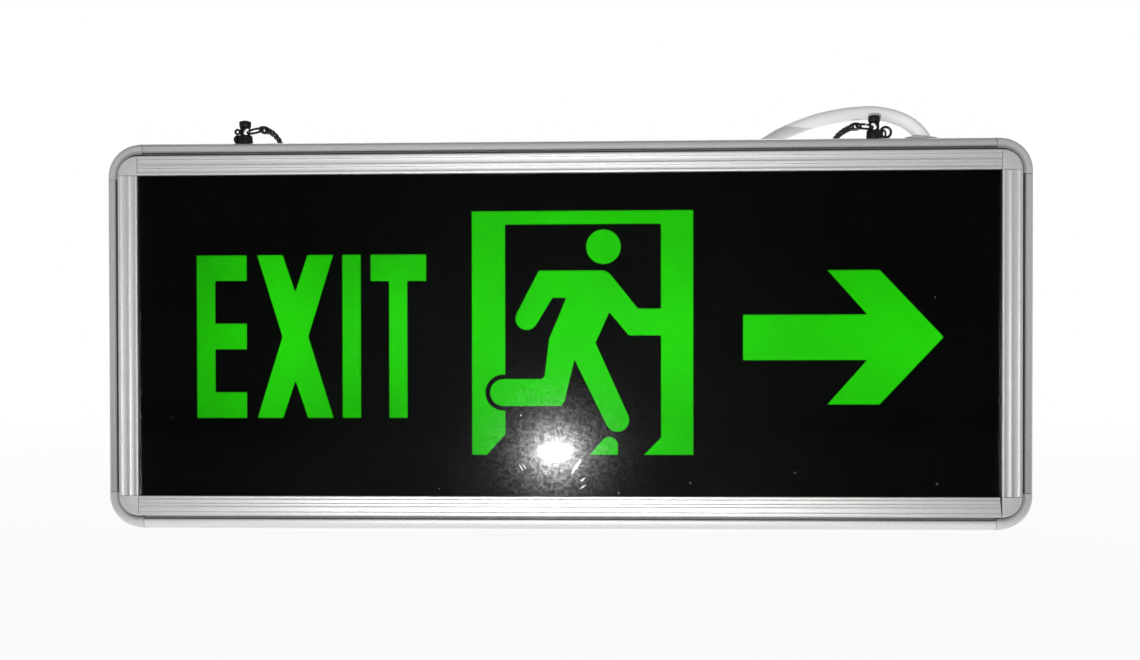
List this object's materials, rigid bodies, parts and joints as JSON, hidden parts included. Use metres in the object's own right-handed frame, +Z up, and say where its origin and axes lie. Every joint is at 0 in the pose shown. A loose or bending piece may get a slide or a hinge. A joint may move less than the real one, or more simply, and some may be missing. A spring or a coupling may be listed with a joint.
{
  "type": "emergency exit sign",
  "caption": "Slim framed emergency exit sign with a lit legend, hung by chains from its top rail or fixed to a wall, with a mains cable and back-up battery.",
  "frame": {"origin": "under the middle of the sign, on the surface that it stands on", "axes": "+X to the right as the sign is read, +Y to the back, +Z up"},
  "size_m": [0.355, 0.1166, 0.165],
  "materials": {
    "frame_aluminium": "satin anodised",
    "corner_plastic": "silver painted moulding, satin",
    "clear_acrylic": "polished clear acrylic",
    "black_print": "black screen print",
    "green_filter": "translucent green sheet, lit from behind",
    "diffuser_white": "opal acrylic",
    "back_plate_white": "white powder coat",
    "led_board": "white solder mask on aluminium",
    "circuit_board": "green solder mask",
    "transformer_tape": "yellow tape",
    "capacitor_sleeve": "shrink sleeve",
    "terminal_nylon": "nylon",
    "battery_sleeve": "shrink sleeve",
    "spring_steel": "bright",
    "cable_white": "satin white PVC",
    "battery_lead_red": "PVC",
    "button_red": "moulded",
    "switch_black": "moulded",
    "lens_green": "translucent",
    "lens_red": "translucent",
    "lens_yellow": "translucent",
    "grommet_grey": "soft grey bush",
    "core_brown": "PVC",
    "core_blue": "PVC",
    "core_green_yellow": "PVC, green with a yellow stripe",
    "ferrule_tin": "tinned",
    "black_nickel": "black nickel plate",
    "zinc_nut": "zinc plate"
  },
  "bodies": {
    "sign": {"rail_top": "frame_aluminium", "rail_bottom": "frame_aluminium", "rail_left": "frame_aluminium", "rail_right": "frame_aluminium", "corner_top_left": "corner_plastic", "corner_top_right": "corner_plastic", "corner_bottom_left": "corner_plastic", "corner_bottom_right": "corner_plastic", "front_cover": "clear_acrylic", "legend_mask": "black_print", "green_filter": "green_filter", "diffuser": "diffuser_white", "back_plate": "back_plate_white", "led_board_upper": "led_board", "led_board_lower": "led_board", "driver_board": "circuit_board", "transformer": "transformer_tape", "capacitor": "capacitor_sleeve", "terminal_block": "terminal_nylon", "battery_pack": "battery_sleeve", "battery_clip": "spring_steel", "mains_lead": "cable_white", "battery_lead": "battery_lead_red", "led_lead": "cable_white", "button_switch": "switch_black", "button_spring": "spring_steel", "indicator_mains": "lens_green", "indicator_charge": "lens_red", "indicator_fault": "lens_yellow", "cable_grommet": "grommet_grey", "mains_cable": "cable_white", "cable_coil": "cable_white", "cable_end": "cable_white", "core_brown": "core_brown", "core_blue": "core_blue", "core_earth": "core_green_yellow", "ferrule_brown": "ferrule_tin", "ferrule_blue": "ferrule_tin", "ferrule_earth": "ferrule_tin", "hanger_post_left": "black_nickel", "hanger_post_right": "black_nickel", "post_nut_left": "zinc_nut", "post_nut_right": "zinc_nut"},
    "test_button": {"test_button": "button_red"},
    "jump_ring_left": {"jump_ring_left": "black_nickel"},
    "chain_top_left": {"chain_top_left": "black_nickel"},
    "chain_hanging_left": {"chain_hanging_left": "black_nickel"},
    "end_ring_left": {"end_ring_left": "black_nickel"},
    "jump_ring_right": {"jump_ring_right": "black_nickel"},
    "chain_top_right": {"chain_top_right": "black_nickel"},
    "chain_hanging_right": {"chain_hanging_right": "black_nickel"},
    "end_ring_right": {"end_ring_right": "black_nickel"}
  },
  "joints": [
    {"name": "test_button_press", "type": "slide", "parent": "sign", "child": "test_button", "axis": [0, 0, 1], "range_m": [0, 0.0018], "stiffness_N_per_m": 250, "springref_m": -0.002, "deforming": ["button_spring"]},
    {"name": "jump_ring_left_swing", "type": "hinge", "parent": "sign", "child": "jump_ring_left", "pos_m": [-0.1248, 0, 0.1546], "axis": [0, -1, 0], "range_deg": [0, 30]},
    {"name": "chain_top_left_swing", "type": "hinge", "parent": "jump_ring_left", "child": "chain_top_left", "pos_m": [-0.11899, 0, 0.15562], "axis": [0, -1, 0], "range_deg": [-30, 15]},
    {"name": "chain_hanging_left_lift", "type": "hinge", "parent": "chain_top_left", "child": "chain_hanging_left", "pos_m": [-0.113, 0.0145, 0.1446], "axis": [1, 0, 0], "range_deg": [0, 100]},
    {"name": "end_ring_left_swing", "type": "hinge", "parent": "chain_hanging_left", "child": "end_ring_left", "pos_m": [-0.113, 0.0145, 0.0235], "axis": [1, 0, 0], "range_deg": [0, 80]},
    {"name": "jump_ring_right_swing", "type": "hinge", "parent": "sign", "child": "jump_ring_right", "pos_m": [0.1186, 0, 0.1546], "axis": [0, 1, 0], "range_deg": [0, 30]},
    {"name": "chain_top_right_swing", "type": "hinge", "parent": "jump_ring_right", "child": "chain_top_right", "pos_m": [0.11279, 0, 0.15562], "axis": [0, 1, 0], "range_deg": [-30, 15]},
    {"name": "chain_hanging_right_lift", "type": "hinge", "parent": "chain_top_right", "child": "chain_hanging_right", "pos_m": [0.1044, 0.0145, 0.1446], "axis": [1, 0, 0], "range_deg": [0, 100]},
    {"name": "end_ring_right_swing", "type": "hinge", "parent": "chain_hanging_right", "child": "end_ring_right", "pos_m": [0.1044, 0.0145, 0.0235], "axis": [1, 0, 0], "range_deg": [0, 80]}
  ]
}
